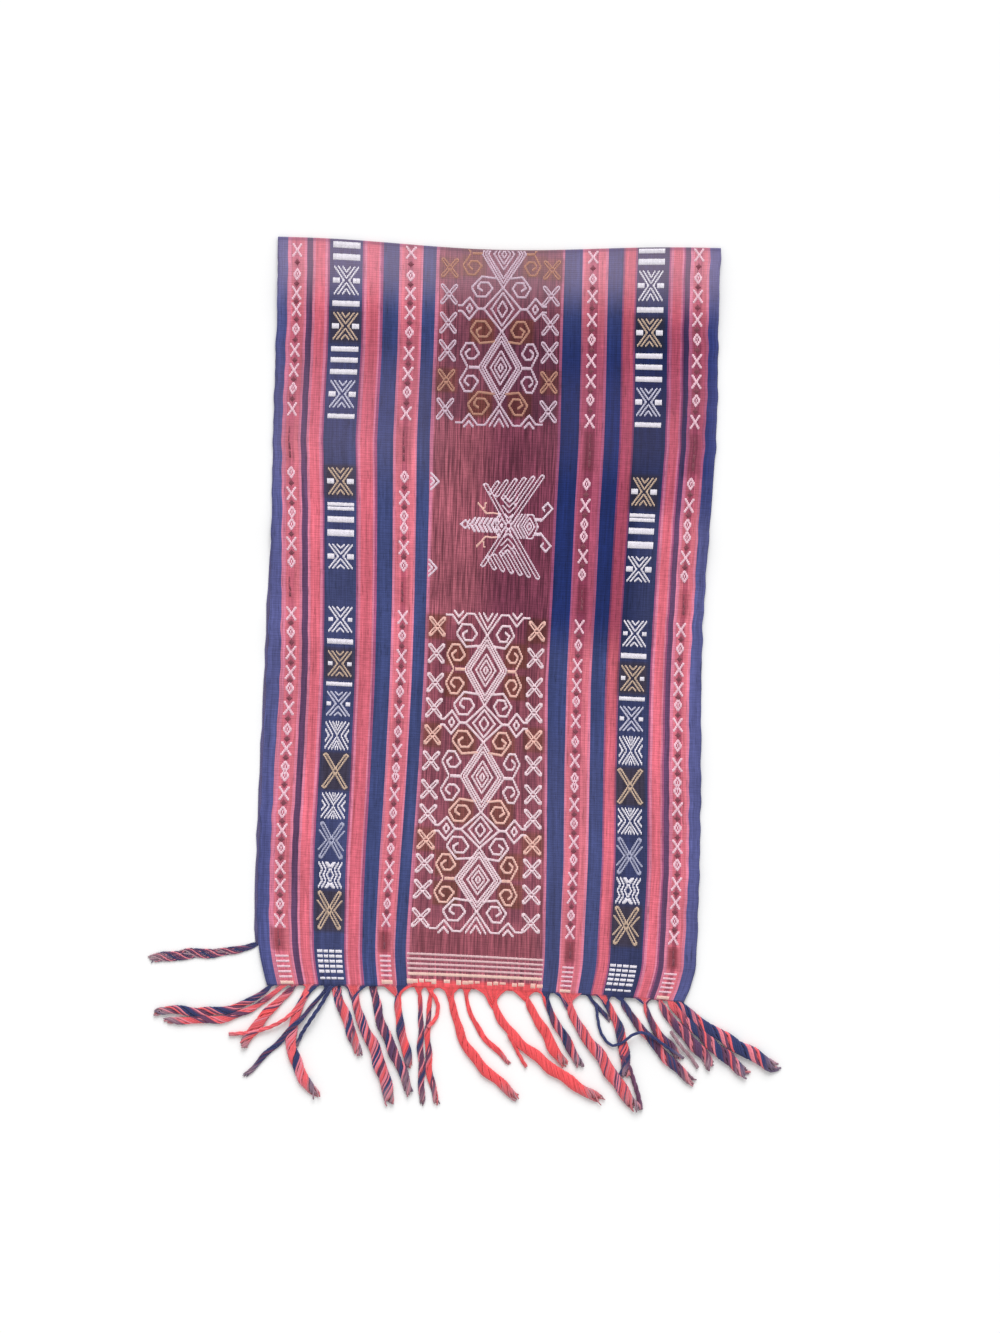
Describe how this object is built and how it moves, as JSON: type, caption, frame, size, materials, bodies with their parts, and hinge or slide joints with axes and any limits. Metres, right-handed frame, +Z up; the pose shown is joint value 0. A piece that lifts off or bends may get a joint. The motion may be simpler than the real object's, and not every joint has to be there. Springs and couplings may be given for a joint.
{
  "type": "folded ikat woven shoulder cloth",
  "caption": "Warp-striped, pattern-woven shoulder cloth with twisted tassels, folded in half across its length and lying flat.",
  "frame": {"origin": "on the underside, at the middle of the folded cloth, where it rests on the surface", "axes": "+Y towards the fold, away from the tassels; +Z up from the surface; +X to the right when the fold is at the far side"},
  "size_m": [0.7183, 0.998, 0.0077],
  "materials": {
    "cloth": "matte warp-faced cotton, striped in coral, pink, navy and maroon, with raised white, grey-blue and gold pattern yarns",
    "fringe": "matte twisted cotton yarn, coral, pink, navy and purple"
  },
  "bodies": {
    "root": {"cloth": "cloth", "fringe_front": "fringe", "fringe_back": "fringe"}
  },
  "joints": []
}
